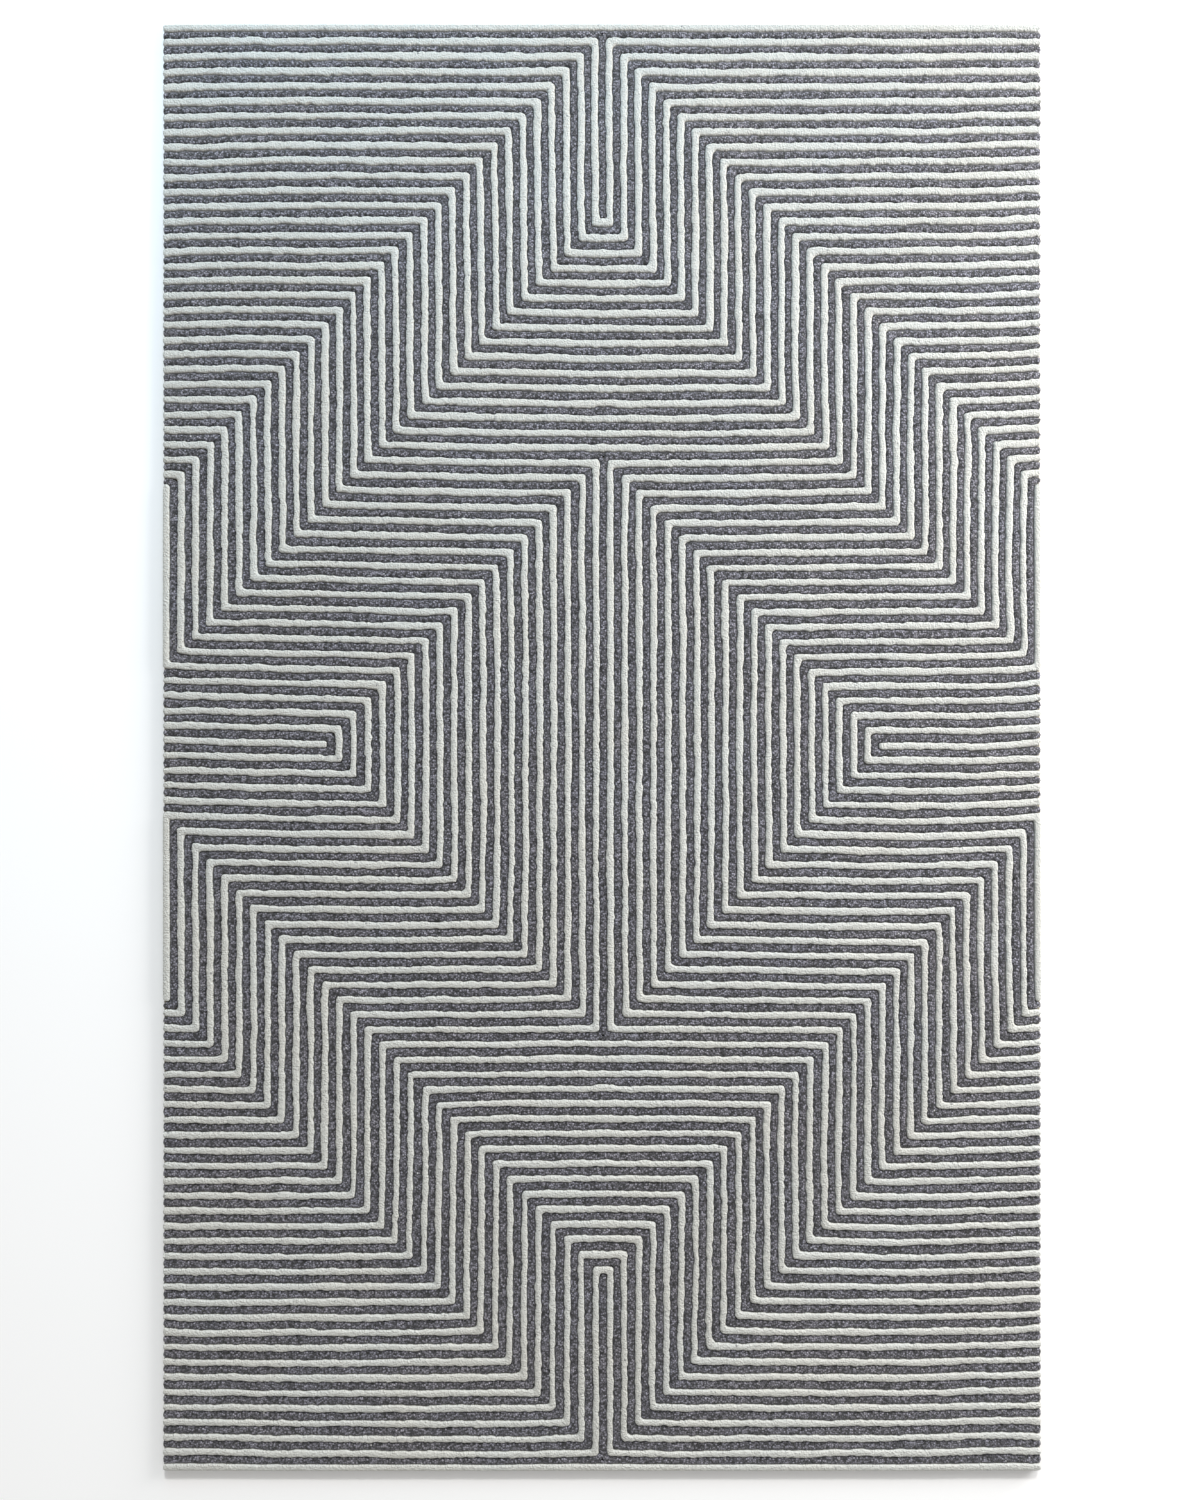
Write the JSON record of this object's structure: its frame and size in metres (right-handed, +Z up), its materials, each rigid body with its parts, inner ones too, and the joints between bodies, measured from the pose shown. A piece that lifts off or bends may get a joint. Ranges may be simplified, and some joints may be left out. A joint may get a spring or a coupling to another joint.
{
  "type": "area rug",
  "caption": "Flat rectangular hand-tufted area rug: cut-pile ivory and grey lines in a carved maze pattern over a latexed, canvas-backed base with a taped hem.",
  "frame": {"origin": "centre of the underside, on the floor that the rug lies on", "axes": "+Y along the rug's length towards the top of the pattern as pictured, +X across it to the right, +Z up out of the pile"},
  "size_m": [1.524, 2.508, 0.0155],
  "materials": {
    "ivory_wool": "ivory cut wool pile, matt with a soft sheen",
    "grey_wool": "mid-grey cut wool pile, matt with a soft sheen",
    "primary_cloth": "plain-woven cotton cloth, undyed",
    "latex": "cured latex, satin",
    "scrim": "open cotton gauze",
    "backing_canvas": "undyed cotton canvas",
    "hem_tape": "cotton twill tape",
    "hem_thread": "twisted cotton thread"
  },
  "bodies": {
    "root": {"ivory_pile_top_1": "ivory_wool", "ivory_pile_top_2": "ivory_wool", "ivory_pile_top_3": "ivory_wool", "ivory_pile_top_4": "ivory_wool", "ivory_pile_bottom_1": "ivory_wool", "ivory_pile_bottom_2": "ivory_wool", "ivory_pile_bottom_3": "ivory_wool", "ivory_pile_bottom_4": "ivory_wool", "ivory_pile_left_1": "ivory_wool", "ivory_pile_left_2": "ivory_wool", "ivory_pile_left_3": "ivory_wool", "ivory_pile_left_4": "ivory_wool", "ivory_pile_left_5": "ivory_wool", "ivory_pile_right_1": "ivory_wool", "ivory_pile_right_2": "ivory_wool", "ivory_pile_right_3": "ivory_wool", "ivory_pile_right_4": "ivory_wool", "ivory_pile_right_5": "ivory_wool", "ivory_pile_edge_top": "ivory_wool", "ivory_pile_edge_bottom": "ivory_wool", "grey_pile_top_1": "grey_wool", "grey_pile_top_2": "grey_wool", "grey_pile_top_3": "grey_wool", "grey_pile_top_4": "grey_wool", "grey_pile_bottom_1": "grey_wool", "grey_pile_bottom_2": "grey_wool", "grey_pile_bottom_3": "grey_wool", "grey_pile_bottom_4": "grey_wool", "grey_pile_left_1": "grey_wool", "grey_pile_left_2": "grey_wool", "grey_pile_left_3": "grey_wool", "grey_pile_left_4": "grey_wool", "grey_pile_left_5": "grey_wool", "grey_pile_right_1": "grey_wool", "grey_pile_right_2": "grey_wool", "grey_pile_right_3": "grey_wool", "grey_pile_right_4": "grey_wool", "grey_pile_right_5": "grey_wool", "grey_pile_centre": "grey_wool", "hem_tape_top": "hem_tape", "hem_tape_bottom": "hem_tape", "hem_tape_left": "hem_tape", "hem_tape_right": "hem_tape", "hem_thread_top": "hem_thread", "hem_thread_bottom": "hem_thread", "hem_thread_left": "hem_thread", "hem_thread_right": "hem_thread", "primary_cloth": "primary_cloth", "latex_coat": "latex", "adhesive_coat": "latex", "scrim_cloth": "scrim", "backing_cloth": "backing_canvas"}
  },
  "joints": []
}
